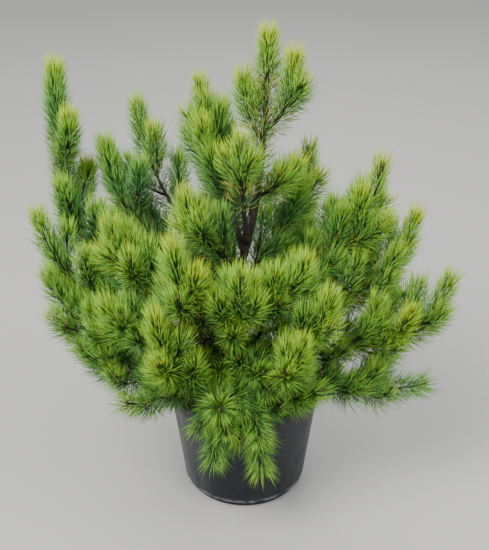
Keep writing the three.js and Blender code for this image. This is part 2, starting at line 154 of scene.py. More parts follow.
# The growing rule's sizes, which the frame's solids share
BOUGH_RADIUS = 6
STEM_RADIUS = 4.5
SHOOT_RADIUS = 3
CURVE_PULL = 0.4
OVERHANG = 34  # from the end of the wood to the tips of its needles
SIDE_LENGTH = 115
SIDE_SPREAD = 38
GOLDEN_ANGLE = 137.5
SHOOTS_FROM = 0.36  # share of a limb's curve before its side shoots
FIRST_SHOOT = 0.04  # shares of the rest of it where they leave it
LAST_SHOOT = 0.66
UNDER_LEADER = 0.68  # longest, as a share of what is left of the stem
KNEE = 0.55  # share of a shoot before its bend
TO_LIGHT = 0.7
SEAT_SCATTER = 0.6
TURN_SCATTER = 24
SPREAD_SCATTER = 14
LENGTH_SCATTER = 0.24
SHOOT_SIZES = (1, 0.8, 0.65)  # tried in turn until one fits
TWIG_ROOM = 13
REACH_ROOM = 22  # how far shoots may pass their limb's reach, and its top
TOP_ROOM = 8
FLAT_RISE = 62  # and what more they may rise on a level limb
FLOOR_ROOM = 12
TESTED_SHARES = (0.3, 0.5, 0.7, 0.85, 1)  # of a shoot, for its gap to others

# What is finer than the solids. Candles are limbs of a few plain upright shoots, which
# carry no fine ones.
CANDLES = "top top_right top_left fork_front left_high left_inner back_left_high".split()
FINE_LENGTH = 104
FINE_SPACING = 24  # along the stem that carries them
FINE_SPREAD = 32
FINE_TURN = 70
FINE_UNDER = 0.72  # as UNDER_LEADER
FINE_SIZES = (1, 0.8, 0.6)
FINE_ROOM = 8
FINE_FROM = 0.16  # shares of a stem's curve where fine shoots leave it
FINE_TO = 0.6
TIP_RADIUS = 2.1
TWIG_SIDES = 6

# Bark: cracks for each millimetre, wide ones and narrow ones, and the root flare
WIDE_CRACKS = 0.11
NARROW_CRACKS = 0.27
TRUNK_SIDES = 56
BOUGH_SIDES = 20
FLARE_HEIGHT = 45
COLLAR_LENGTH = 20  # of the swelling where a bough leaves the trunk

# Needles: where they stand on a shoot, and how they lean out from it in degrees
SHOOT_STATIONS = 25
CLAD = 150  # young part of a shoot, with dense needles
HANGING_CLAD = 85
LIMB_CLAD = 0.85  # and the most that it may be, as a share of a limb's stem or a shoot
SHOOT_CLAD = 0.93
TO_TIP = 0.75  # below 1, the needles stand closer towards the tip
OLD_CLAD = 170  # older part behind it, and the density of its needles
OLD_SHARE = 0.48
SHORT_SHADE_SHARE = 0.2  # short needles in the shaded tint close to the stem: painted shade that darkens the core of each shoot
SHORT = 0.5  # their length
LEVEL_LEAN = (62, 46)  # on a level shoot, behind and at its tip
UPRIGHT_LEAN = (42, 18)
LEAN_SCATTER = 8

# Needles: the light that deals out their tints
NEEDLE_TINTS = ("shade", "deep", "green", "fresh", "bright", "olive", "rust")
TINT_STEPS = (0.2, 0.4, 0.62, 0.86)  # light at which the next greener tint begins
PIECE_NEEDLES = 33000  # keeps every piece under 200,000 triangles
SHADING = 0.24  # what each shoot on the way to the light takes
SHADE_FROM = 15  # nearest that such a shoot may stand on the way
SHADE_REACH = 48  # farthest that it may stand beside the way
TALL = 900  # height where the young needles are brightest, partly painted light on the upper crown
LOW_LIGHT = 0.9  # share of the light that is left at the ground
LIGHT_WEIGHT = 0.45
YOUTH = (0.17, 0.48)  # what a shoot's youngest needles gain, low down and at the top; the gain with height is partly painted light
FLUSH = 0.3  # what the very tips gain at the top besides, partly painted light
YOUNG_FROM = 0.25  # share of the young part before which needles count as old
OLD_LOSS = 0.1
SCATTER = (0.07, 0.05)  # from shoot to shoot, and from needle to needle
RUST_FROM = 0.997  # above this chance a needle is dry

# Needles: what a limb's needles have of their own: light that is added, density as a
# share, the share of olive ones, and then size as a share, more lean, and the length of
# the young part
Habit = namedtuple("Habit", "light density older size splay clad", defaults=(0, 1, 0.2, 1, 0, None))
HABITS = {
    "top": Habit(0, 1.6, 0.6),
    "top_right": Habit(0, 1.5),
    "top_left": Habit(0, 1.5),
    "fork_front": Habit(0, 1, 0.6),
    "fork_left": Habit(-0.04),
    "back_left_high": Habit(-0.06, 1.25),
    "left_high": Habit(-0.15, 1.8, clad=340),
    "left_inner": Habit(-0.12, 1.4, clad=240),
    "front_left_high": Habit(0.06, 1, 0.85),
    "front_left": Habit(0.14, 1, 0.08),
    "front_star": Habit(0, 1, 0.05, size=1.15, splay=15),
    "front_hang": Habit(-0.04, 1, 0.05),
    "front_hang_left": Habit(-0.04, 1, 0.05),
    "front_mid": Habit(0.06, 1, 0.35),
    "front_right_high": Habit(0.04),
    "front_right": Habit(0.06, 1, 0.3),
    "right_front": Habit(0.06),
    "right_low": Habit(0.06),
    "right_far": Habit(0.1, 1, 0.35),
    "right_mid": Habit(0.1, 1, 0.45),
    "right_high": Habit(0.08, 1, 0.45),
}


# ---- settings ----


def number(name, description, default, **more):
    return FloatProperty(name=name, description=description, default=default, **more)


def length(name, description, default):
    return number(name, description, default, unit="LENGTH", precision=4)


def colour(name, description, default):
    return FloatVectorProperty(
        name=name, description=description, default=default, size=4, min=0, max=1, subtype="COLOR"
    )


class PotSettings(bpy.types.PropertyGroup):
    """Sizes and colours of the pot and its compost"""

    edge: length("Edge rounding", "Radius of the moulded edges", 0.0016)
    plastic: colour("Plastic", "The pot's wall", (0.0065, 0.009, 0.0145, 1))
    # the dust colour also tints the painted sheen on the pot's left side and the painted highlight
    # on its lip
    dust: colour("Dust", "Dust and scuffs on the pot", (0.20, 0.205, 0.215, 1))
    dustiness: number("Dustiness", "Dust that lies on the pot", 0.35, min=0, max=1)
    soil: colour("Compost", "Damp crumbs", (0.028, 0.018, 0.012, 1))
    chip: colour("Bark chips", "Chips on the compost", (0.14, 0.075, 0.042, 1))
    chips: IntProperty(name="Chips", description="How many lie on the compost", default=620, min=0)


class WoodSettings(bpy.types.PropertyGroup):
    """Sizes and colours of the trunk, the boughs and the twigs"""

    relief: length("Bark relief", "Depth of the trunk's cracks", 0.0014)
    bark: colour("Bark", "Plates of bark", (0.034, 0.022, 0.016, 1))
    crack: colour("Cracks", "Down in the bark's cracks", (0.009, 0.006, 0.005, 1))
    twig: colour("Twigs", "Young twigs", (0.032, 0.018, 0.012, 1))
    bud: colour("Buds", "Buds at the tips", (0.26, 0.13, 0.06, 1))


class NeedleSettings(bpy.types.PropertyGroup):
    """Sizes and colours of the needles"""

    needle: length("Needle length", "Length of a usual needle", 0.045)
    width: length("Needle width", "Width at the middle", 0.0014)
    density: number("Needles per mm", "Needles along a millimetre of a young shoot", 3.5, min=0.1)
    # Tints from shaded to bright are dealt out by painted light as well as by age: the light a
    # shoot gets sets which of them its needles take
    bright: colour("Bright", "Newest needles in full light", (0.46, 0.61, 0.012, 1))
    fresh: colour("Fresh", "Young needles", (0.3, 0.525, 0.036, 1))
    green: colour("Green", "Needles in their second year", (0.205, 0.44, 0.052, 1))
    deep: colour("Deep", "Older needles", (0.115, 0.305, 0.062, 1))
    shade: colour("Shaded", "Needles inside the crown", (0.056, 0.178, 0.056, 1))
    olive: colour("Olive", "Oldest needles near the wood", (0.36, 0.38, 0.05, 1))
    rust: colour("Rust", "The few dry needles", (0.40, 0.14, 0.025, 1))


class StageSettings(bpy.types.PropertyGroup):
    """The floor, the lights and the camera"""

    distance: length("Camera distance", "From the pot's axis to the camera, level", 1.72)
    height: length("Camera height", "From the floor", 1.42)
    pitch: number("Camera pitch", "How far it looks down", math.radians(28.6), subtype="ANGLE")
    focal: number("Focal length", "For a sensor 36 mm wide", 65.45, unit="CAMERA")
    floor: colour("Floor", "The plain floor", (0.50, 0.485, 0.46, 1))
    sky: number("Sky", "Strength of the even light", 0.8, min=0)
    lamp: number("Lamp", "Power of the main soft light", 125, unit="POWER")


# ---- materials ----


class Value:
    """A socket in a finish's nodes that can be used in an expression."""

    def __init__(self, finish, socket):
        self.finish = finish
        self.socket = socket

    def math(self, operation, first, second):
        return self.finish.add("ShaderNodeMath", {"operation": operation}, {0: first, 1: second})


for sign, operation in (("add", "ADD"), ("sub", "SUBTRACT"), ("mul", "MULTIPLY")):
    setattr(Value, f"__{sign}__", lambda a, b, kind=operation: a.math(kind, a, b))
    setattr(Value, f"__r{sign}__", lambda a, b, kind=operation: a.math(kind, b, a))


class Finish:
    """A material that is made of nodes."""

    def __init__(self, name):
        self.material = bpy.data.materials.new(name)
        self.material.use_nodes = True
        self.tree = self.material.node_tree
        self.tree.nodes.clear()

    def add(self, kind, settings, inputs, output=0):
        """A node of that kind: its settings, then its sockets, and one of its outputs."""
        node = self.tree.nodes.new(kind)
        for key, setting in settings.items():
            setattr(node, key, setting)
        for key, value in inputs.items():
            if isinstance(value, Value):
                self.tree.links.new(value.socket, node.inputs[key])
            else:
                node.inputs[key].default_value = value
        return Value(self, node.outputs[output])

    def place(self):
        """The place on the plant, in metres."""
        return self.add("ShaderNodeTexCoord", {}, {}, "Object")

    def stretched(self, place, factors):
        return self.add("ShaderNodeVectorMath", {"operation": "MULTIPLY"}, {0: place, 1: factors})

    def part(self, place, axis):
        return self.add("ShaderNodeSeparateXYZ", {}, {0: place}, axis)

    def speckle(self, place, scale, detail):
        inputs = {"Vector": place, "Scale": scale, "Detail": detail}
        return self.add("ShaderNodeTexNoise", {}, inputs)

    def between(self, value, low, high):
        """0 at low, 1 at high and smooth between them."""
        settings = {"interpolation_type": "SMOOTHSTEP"}
        return self.add("ShaderNodeMapRange", settings, {"Value": value, 1: low, 2: high})

    def spots(self, place, scale, detail, low, high):
        return self.between(self.speckle(place, scale, detail), low, high)

    def tint(self, factor, first, second):
        settings = {"data_type": "RGBA"}
        return self.add("ShaderNodeMix", settings, {0: factor, 6: first, 7: second}, 2)

    def bumps(self, height, distance, strength):
        inputs = {"Height": height, "Distance": distance, "Strength": strength}
        return self.add("ShaderNodeBump", {}, inputs)

    def surface(self, base, roughness, normal=None, gloss=0.5):
        """Ends the nodes with a surface, and gives the material."""
        inputs = {"Base Color": base, "Roughness": roughness, "Specular IOR Level": gloss}
        if normal:
            inputs["Normal"] = normal
        shader = self.add("ShaderNodeBsdfPrincipled", {}, inputs)
        end = self.tree.nodes.new("ShaderNodeOutputMaterial")
        self.tree.links.new(shader.socket, end.inputs["Surface"])
        return self.material


def scaled(tone, red, green, blue):
    """A colour whose channels are each made darker or lighter."""
    return tone[0] * red, tone[1] * green, tone[2] * blue, 1


def pot_plastic(pot):
    """Moulded plastic with a dull sheen, dusty at the rim and the foot, with fine scuffs; paler on
    the left with scuffs and a painted sheen, and a lighter lip band of wear and painted highlight.
    """
    finish = Finish("pot_plastic")
    place = finish.place()
    z = finish.part(place, "Z")
    low = 1 - finish.between(z, 0.0, 0.075)
    high = finish.between(z, 0.215, 0.24)
    patches = finish.spots(place, 16.0, 5.0, 0.46, 0.72)
    grains = finish.spots(place, 420.0, 2.0, 0.56, 0.74)
    around = finish.stretched(place, (6.0, 6.0, 160.0))
    scuffs = finish.spots(around, 3.0, 4.0, 0.62, 0.78)
    down = finish.stretched(place, (40.0, 40.0, 3.0))
    streaks = finish.spots(down, 1.6, 5.0, 0.3, 0.7)
    # paler left side: scuffs and dust, and a painted sheen of the sky's reflection in soft vertical
    # streaks
    left_scuffs_and_sheen = (1 - finish.between(finish.part(place, "X"), -0.14, -0.06)) * (0.25 + streaks * 0.75)
    # a lighter band round the lip above the foot: scuffs, and a painted highlight along the lip's
    # edge
    lip = finish.between(z, 0.010, 0.014) - finish.between(z, 0.017, 0.024)
    lip_wear_and_highlight = lip * finish.spots(place, 55.0, 4.0, 0.38, 0.6)
    dust = (patches * 0.45 + grains * 0.25 + scuffs * 0.30) * (0.35 + low * 0.5 + high * 0.5)
    # dust, the painted left-side sheen and the painted lip highlight, all in the dust colour
    shown = dust * pot.dustiness + left_scuffs_and_sheen * 0.4 + lip_wear_and_highlight * 0.75
    relief = finish.speckle(place, 900.0, 2.0) * 0.4 + finish.speckle(around, 2.0, 2.0) * 0.6
    return finish.surface(
        base=finish.tint(shown, pot.plastic, pot.dust),
        roughness=0.36 + patches * 0.10 + dust * 0.35,
        normal=finish.bumps(relief, 0.0006, 0.35),
        gloss=0.32,
    )


def compost_soil(pot):
    """Damp crumbly compost."""
    finish = Finish("compost_soil")
    place = finish.place()
    crumbs = finish.speckle(place, 260.0, 6.0)
    light = scaled(pot.soil, 2.6, 2.5, 2.4)
    return finish.surface(
        base=finish.tint(finish.between(crumbs, 0.42, 0.68), pot.soil, light),
        roughness=0.85 + crumbs * 0.1,
        normal=finish.bumps(crumbs, 0.003, 0.9),
    )


def chip_bark(pot):
    """Weathered bark chips."""
    finish = Finish("chip_bark")
    place = finish.place()
    fibres = finish.speckle(finish.stretched(place, (1.0, 2.2, 1.0)), 120.0, 4.0)
    dark = scaled(pot.chip, 0.35, 0.35, 0.35)
    return finish.surface(
        base=finish.tint(finish.between(fibres, 0.35, 0.66), dark, pot.chip),
        roughness=0.9,
        normal=finish.bumps(fibres, 0.001, 0.6),
    )


def scaly_bark(wood):
    """Grey-brown plates with dark cracks between them."""
    finish = Finish("scaly_bark")
    place = finish.place()
    tall = finish.stretched(place, (1.0, 1.0, 0.34))
    edges = finish.add(
        "ShaderNodeTexVoronoi", {"feature": "DISTANCE_TO_EDGE"}, {"Vector": tall, "Scale": 130.0}
    )
    grain = finish.speckle(tall, 420.0, 5.0)
    plates = finish.between(edges + grain * 0.16, 0.06, 0.26)
    warm = scaled(wood.bark, 1.5, 1.15, 0.95)
    plate = finish.tint(finish.spots(place, 60.0, 3.0, 0.4, 0.65), wood.bark, warm)
    return finish.surface(
        base=finish.tint(plates, wood.crack, plate),
        roughness=0.8 + grain * 0.15,
        normal=finish.bumps(plates * 0.7 + grain * 0.3, 0.0016, 0.8),
    )


def twig_skin(wood):
    """Young bark with the scars of fallen needles."""
    finish = Finish("twig_skin")
    place = finish.place()
    scars = finish.spots(place, 300.0, 3.0, 0.4, 0.62)
    dark = scaled(wood.twig, 0.3, 0.3, 0.3)
    return finish.surface(
        base=finish.tint(scars, dark, wood.twig),
        roughness=0.75,
        normal=finish.bumps(scars, 0.0008, 0.6),
    )


def plain_finish(name, base, roughness, gloss=0.5):
    return Finish(name).surface(base, roughness, gloss=gloss)


# ---- growing: curves and gaps ----

UP = Vector((0, 0, 1))


def mix(low, high, t):
    return low + (high - low) * t


def seeded(seed):
    """Numbers between 0 and 1 that are the same on every run."""
    state = 1 + seed * 7919

    def draw():
        nonlocal state
        state = state * 16807 % 2147483647
        return state / 2147483647

    return draw


def along(controls, t):
    """Point of a Bezier curve."""
    while len(controls) > 1:
        controls = [a.lerp(b, t) for a, b in zip(controls, controls[1:])]
    return controls[0]


def heading(controls, t):
    """Direction of a Bezier curve."""
    return along([b - a for a, b in zip(controls, controls[1:])], t).normalized()


def carried_frames(controls, params):
    """Points of a curve, with a frame carried along without turning about it."""
    frames = []
    side = None
    for t in params:
        ahead = heading(controls, t)
        if side is None:
            start = UP if abs(ahead.z) < 0.9 else Vector((1, 0, 0))
            side = start.cross(ahead)
        side = (side - ahead * side.dot(ahead)).normalized()
        frames.append((along(controls, t), ahead, side, ahead.cross(side)))
    return frames


def make_links(points, radii):
    """Straight pieces between points, each with a radius, to measure gaps to."""
    points = np.array(points, float)
    return points[:-1], points[1:] - points[:-1], np.array(radii, float)


def joined(links):
    return tuple(np.concatenate(parts) for parts in zip(*links))


def gap_to(points, links):
    """Gap between each point and the nearest surface of the links."""
    starts, spans, radii = links
    points = np.array(points, float)[:, None]
    offsets = points - starts
    shares = np.clip((offsets * spans).sum(2) / (spans * spans).sum(1), 0, 1)
    gaps = np.linalg.norm(offsets - shares[..., None] * spans, axis=2) - radii
    return gaps.min(1)


# The top of the trunk, as a curve that has the oldest needles
LEADER = [Vector(TRUNK[5][:3]), Vector(TRUNK[7][:3]) - Vector((4, 8, 20)), Vector(TRUNK[8][:3])]


def trunk_at(z):
    """Centre of the trunk at a height."""
    station = 0
    while station < len(TRUNK) - 2 and TRUNK[station + 1][2] < z:
        station += 1
    low = Vector(TRUNK[station][:3])
    high = Vector(TRUNK[station + 1][:3])
    return low.lerp(high, min(1, (z - low.z) / (high.z - low.z)))


# ---- growing: limbs and shoots ----

# A limb or shoot: its curve and the share of it where it begins, its order of branching,
# the radius of its root, the share that has dense needles, and a limb's number
Shoot = namedtuple("Shoot", "limb controls first order root clad number", defaults=[None])


def slope(outward, degrees):
    """The direction that rises so many degrees from level."""
    return outward * math.cos(math.radians(degrees)) + UP * math.sin(math.radians(degrees))


def limb_controls(limb):
    """The whole curve of a limb, from the middle of the trunk on."""
    start = trunk_at(limb.at)
    angle = math.radians(limb.azimuth)
    target = Vector((limb.reach * math.cos(angle), limb.reach * math.sin(angle), limb.top))
    outward = Vector((target.x - start.x, target.y - start.y, 0)).normalized()
    leave = slope(outward, limb.leave)
    finish = slope(outward, limb.finish)
    end = target - finish * OVERHANG
    pull = limb.own.get("pull", CURVE_PULL) * (end - start).length
    return [start, start + leave * pull, end - finish * pull, end]


def limb_radius(limb, t):
    root = limb.own.get("thick", BOUGH_RADIUS if limb.bare else STEM_RADIUS)
    return mix(root, SHOOT_RADIUS, math.sqrt(t))


def shoot_tip(controls):
    """Where the needles past the end of a shoot's wood reach."""
    return along(controls, 1) + heading(controls, 1) * OVERHANG


def curve_links(controls, radius_at, params):
    """Links along a curve through the given shares of it."""
    radii = [radius_at((a + b) / 2) for a, b in zip(params, params[1:])]
    return make_links([along(controls, t) for t in params], radii)


def stem_links(controls, first, radius_at, pieces):
    """Links along the rest of a curve and on to the tips of its needles."""
    params = np.linspace(first, 1, pieces + 1)
    tip = make_links([along(controls, 1), shoot_tip(controls)], [SHOOT_RADIUS])
    return joined([curve_links(controls, radius_at, params), tip])


def bent_shoot(frame, turn, spread, full, light):
    """A shoot's controls: away from its stem, then bent towards the light."""
    point, ahead, side, other = frame
    out = side * math.cos(turn) + other * math.sin(turn)
    away = ahead * math.cos(spread) + out * math.sin(spread)
    bent = away.lerp(light, TO_LIGHT).normalized()
    knee = point + away * KNEE * full
    return [point, knee, knee + bent * (1 - KNEE) * full]


def shoot_seed(stem, carrier, t, turn, spread, longest, under, random):
    """A shoot at a place on its carrier's curve, for any size: turn and spread in degrees."""
    frame = carried_frames(carrier.controls, [t])[0]
    turn = math.radians(turn + TURN_SCATTER * (random() - 0.5))
    spread = math.radians(spread + SPREAD_SCATTER * (random() - 0.5))
    left = (carrier.controls[-1] - frame[0]).length
    full = min(longest, under * left) * (1 + LENGTH_SCATTER * (random() - 0.5))
    light = UP if stem.limb.finish > 0 else heading(stem.controls, 1)
    return lambda size: bent_shoot(frame, turn, spread, full * size, light)


def side_shoot(stem, number, random):
    """One side shoot of the frame's solids, for any size."""
    limb = stem.limb
    seat = (number + SEAT_SCATTER * random()) / limb.shoots
    t = mix(max(stem.first, SHOOTS_FROM), 1, mix(FIRST_SHOOT, LAST_SHOOT, seat))
    turn = limb.spin + number * GOLDEN_ANGLE
    longest = limb.own.get("side", SIDE_LENGTH)
    return shoot_seed(stem, stem, t, turn, SIDE_SPREAD, longest, UNDER_LEADER, random)


def fine_shoot(stem, parent, number, count, random):
    """One shoot that is finer than the solids, for any size."""
    seat = (number + SEAT_SCATTER * random()) / count
    turn = stem.limb.spin + FINE_TURN + 90 * parent.order + number * GOLDEN_ANGLE
    t = mix(FINE_FROM, FINE_TO, seat)
    return shoot_seed(stem, parent, t, turn, FINE_SPREAD, FINE_LENGTH, FINE_UNDER, random)


def outside_pot(points, room):
    """Which points are clear of the pot and of the ground below it."""
    points = np.array(points, float)
    around = np.hypot(points[:, 0], points[:, 1]) > RIM_RADIUS + room
    return (points[:, 2] > FLOOR_ROOM) & (around | (points[:, 2] > POT_HEIGHT + room))


def within_reach(limb, controls):
    """Whether a shoot's tip stays in the space of its limb's mass."""
    tip = shoot_tip(controls)
    near = math.hypot(tip.x, tip.y) <= limb.reach + REACH_ROOM
    highest = limb.top + TOP_ROOM + FLAT_RISE * math.cos(math.radians(limb.finish))
    return near and (limb.finish < 0 or tip.z <= highest)


class Crown:
    """Everything that grows: the limbs with their curves, and every shoot."""

    def __init__(self):
        radii = [row[3] for row in TRUNK]
        wood = [make_links([row[:3] for row in TRUNK], np.maximum(radii[:-1], radii[1:]))]
        self.limbs = []
        self.stems = {}
        self.shoots = []
        for number, row in enumerate(LIMB_ROWS):
            limb = Limb(*row)
            controls = limb_controls(limb)
            first = limb.bare
            radius_at = functools.partial(limb_radius, limb)
            if limb.bare:
                wood.append(curve_links(controls, radius_at, np.linspace(0, limb.bare, 11)))
            self.stems[limb.name] = [stem_links(controls, first, radius_at, 10)]
            root = radius_at(first)
            self.limbs.append(Shoot(limb, controls, first, 0, root, LIMB_CLAD, number))
        self.leader = Shoot(self.limbs[0].limb, LEADER, 0, 0, TRUNK[-1][3], 0)
        self.wood = joined(wood)
        self.grow()

    def grow(self):
        """The solids' side shoots, then the finer ones on stems and side shoots."""
        parents = []
        for stem in self.limbs:
            random = seeded(stem.number + 1)
            carriers = [stem]
            for number in range(stem.limb.shoots):
                sized = side_shoot(stem, number, random)
                carriers += self.keep_largest(stem, sized, fine=False)
            parents.append((stem, carriers))
        for stem, carriers in parents:
            if stem.limb.name in CANDLES:
                continue
            random = seeded(stem.number + 901)
            for parent in carriers:
                self.grow_fine(stem, parent, random)
        self.shoots.extend(self.limbs)

    def grow_fine(self, stem, parent, random):
        points = np.array([along(parent.controls, t) for t in np.linspace(FINE_FROM, FINE_TO, 12)])
        span = np.linalg.norm(np.diff(points, axis=0), axis=1).sum()
        count = max(1, round(span / FINE_SPACING))
        for number in range(count):
            sized = fine_shoot(stem, parent, number, count, random)
            self.keep_largest(stem, sized, fine=True)

    def keep_largest(self, stem, sized, fine):
        """Keeps a shoot in the largest size that fits: a list of it, or of none."""
        for size in FINE_SIZES if fine else SHOOT_SIZES:
            controls = sized(size)
            if self.fits(stem, controls, fine):
                links = stem_links(controls, 0, lambda t: SHOOT_RADIUS, 6)
                self.stems[stem.limb.name].append(links)
                root = 0.8 * SHOOT_RADIUS if fine else SHOOT_RADIUS
                shoot = Shoot(stem.limb, controls, 0, 2 if fine else 1, root, SHOOT_CLAD)
                self.shoots.append(shoot)
                return [shoot]
        return []

    def fits(self, stem, controls, fine):
        """Whether a shoot keeps to its mass's space and clear of the pot, wood and shoots."""
        room = FINE_ROOM if fine else TWIG_ROOM
        points = [along(controls, t) for t in TESTED_SHARES] + [shoot_tip(controls)]
        outer = points[1:] if fine else points
        own = self.stems[stem.limb.name]
        others = [links for parts in self.stems.values() if parts is not own for links in parts]
        return (
            within_reach(stem.limb, controls)
            and outside_pot(points, room).all()
            and gap_to(outer, self.wood).min() >= room
            and gap_to(points[1:], joined(own)).min() >= (room if fine else room / 2)
            and gap_to(outer, joined(others)).min() >= room
        )


@functools.cache
def crown():
    return Crown()


# ---- meshes ----


def add_object(name, data):
    thing = bpy.data.objects.new(name, data)
    bpy.context.scene.collection.objects.link(thing)
    return thing


def add_piece(name, points, faces, material, slot, stands_for):
    """A mesh from points in millimetres, which rides with the plant."""
    mesh = bpy.data.meshes.new(name)
    mesh.from_pydata((np.asarray(points, float) * MM).tolist(), [], faces)
    mesh.materials.append(material)
    mesh.shade_smooth()
    piece = add_object(name, mesh)
    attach(piece, "root")
    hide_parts(*stands_for)


def mass_names():
    return [name for name in frame["nodes"] if name.startswith("needles_")]


def full_turn(sides):
    """Angles all round, in equal steps."""
    return np.linspace(0, 2 * math.pi, sides, endpoint=False)


def ring_about(centre, side, other, radius, turns):
    spokes = (side * math.cos(a) + other * math.sin(a) for a in turns)
    return np.array([centre + spoke * radius for spoke in spokes])


def skin_faces(rings, sides):
    """Faces between each ring of points and the next."""
    faces = []
    for start in range(0, (rings - 1) * sides, sides):
        for k in range(sides):
            a, b = start + k, start + (k + 1) % sides
            faces.append((a, b, b + sides, a + sides))
    return faces


def tube_mesh(rings):
    """Points and faces of a skin over rings of equal count, closed at both ends."""
    sides = len(rings[0])
    faces = skin_faces(len(rings), sides)
    last = (len(rings) - 1) * sides
    faces.append(tuple(range(sides - 1, -1, -1)))
    faces.append(tuple(range(last, last + sides)))
    return np.concatenate(rings), faces


def gather(parts):
    """One mesh's points and faces from those of several."""
    points, faces, offset = [], [], 0
    for part_points, part_faces in parts:
        points.append(part_points)
        faces.extend(tuple(corner + offset for corner in face) for face in part_faces)
        offset += len(part_points)
    return np.concatenate(points), faces


def turned(profile, sides):
    """A shape turned about the vertical axis, from a profile that ends on it."""
    turns = full_turn(sides)
    spokes = np.stack([np.cos(turns), np.sin(turns)], 1)
    rows = [np.column_stack([spokes * radius, np.full(sides, z)]) for radius, z in profile[1:-1]]
    points = np.concatenate([*rows, [[0, 0, profile[0][1]], [0, 0, profile[-1][1]]]])
    faces = skin_faces(len(rows), sides)
    below, above = len(points) - 2, len(points) - 1
    last = (len(rows) - 1) * sides
    for k in range(sides):
        nearby = (k + 1) % sides
        faces.append((below, nearby, k))
        faces.append((above, last + k, last + nearby))
    return points, faces


def rounded(corners, radius):
    """A profile whose inner corners are rounded off."""
    corners = [np.array(corner, float) for corner in corners]
    profile = [corners[0]]
    for before, corner, after in zip(corners, corners[1:], corners[2:]):
        back, on = before - corner, after - corner
        reach = min(radius, 0.45 * np.linalg.norm(back), 0.45 * np.linalg.norm(on))
        start = corner + back / np.linalg.norm(back) * reach
        end = corner + on / np.linalg.norm(on) * reach
        for t in np.linspace(0, 1, 4):
            profile.append((1 - t) ** 2 * start + 2 * t * (1 - t) * corner + t * t * end)
    return [*profile, corners[-1]]


def smooth_stations(rows, step):
    """Rows of numbers, eased between the given stations, about a step apart."""
    rows = np.array(rows, float)
    eased = []
    for i in range(len(rows) - 1):
        before = rows[max(0, i - 1)]
        after = rows[min(len(rows) - 1, i + 2)]
        span = np.linalg.norm(rows[i + 1][:3] - rows[i][:3])
        for t in np.arange(0, 1, 1 / max(1, round(span / step))):
            slow, fast = (rows[i + 1] - before) / 2, (after - rows[i]) / 2
            eased.append(
                (2 * t**3 - 3 * t**2 + 1) * rows[i]
                + (t**3 - 2 * t**2 + t) * slow
                + (3 * t**2 - 2 * t**3) * rows[i + 1]
                + (t**3 - t**2) * fast
            )
    eased.append(rows[-1])
    return eased


def bark_height(point, tall=0.36):
    """Relief of plated bark at a point, from 0 in a crack to 1 on a plate."""
    spot = Vector((point[0], point[1], point[2] * tall))
    wide = abs(noise.noise(spot * WIDE_CRACKS))
    narrow = abs(noise.noise(spot * NARROW_CRACKS + Vector((40, 0, 7))))
    return min(1, 2.6 * wide) * 0.65 + min(1, 3.0 * narrow) * 0.35


# ---- operators ----


def wall_radius(z):
    """Radius of the outside of the pot's wall at a height."""
    return mix(LIP_RADIUS, RIM_RADIUS - RIM_PROUD, (z - FOOT_HEIGHT) / (POT_HEIGHT - FOOT_HEIGHT))


def pot_profile():
    """The pot's wall from the middle of its underside round to the middle of its floor."""
    band = POT_HEIGHT - RIM_BAND
    inside = FOOT_RADIUS - WALL
    return [
        (0, 1.6),
        (FOOT_RADIUS - 13, 1.6),
        (FOOT_RADIUS - 11, 0),
        (FOOT_RADIUS - 2, 0),
        (FOOT_RADIUS, 3),
        (FOOT_RADIUS, FOOT_HEIGHT - 2.5),
        (LIP_RADIUS - 1, FOOT_HEIGHT - 2),
        (LIP_RADIUS, FOOT_HEIGHT + 2),
        (wall_radius(band) - 0.2, band - 2),
        (wall_radius(band) + 0.2, band + 0.5),
        (RIM_RADIUS - 0.7, band + 1.5),
        (RIM_RADIUS, band + 4),
        (RIM_RADIUS, POT_HEIGHT - 3),
        (RIM_RADIUS - 2.5, POT_HEIGHT),
        (RIM_RADIUS - 6, POT_HEIGHT),
        (RIM_RADIUS - 8, POT_HEIGHT - 3),
        (wall_radius(band) - WALL, band),
        (LIP_RADIUS - WALL, FOOT_HEIGHT + 4),
        (inside, FOOT_HEIGHT),
        (inside, 4),
        (0, 4),
    ]


class PINE_OT_pot(bpy.types.Operator):
    """Turn the pot with its rim, lip and foot"""

    bl_idname = "pine.pot"
    bl_label = "Pot"

    def execute(self, context):
        pot = context.scene.pine_pot
        points, faces = turned(rounded(pot_profile(), pot.edge / MM), 144)
        add_piece("pot_shell", points, faces, pot_plastic(pot), "pot_plastic", ["pot"])
        return {"FINISHED"}


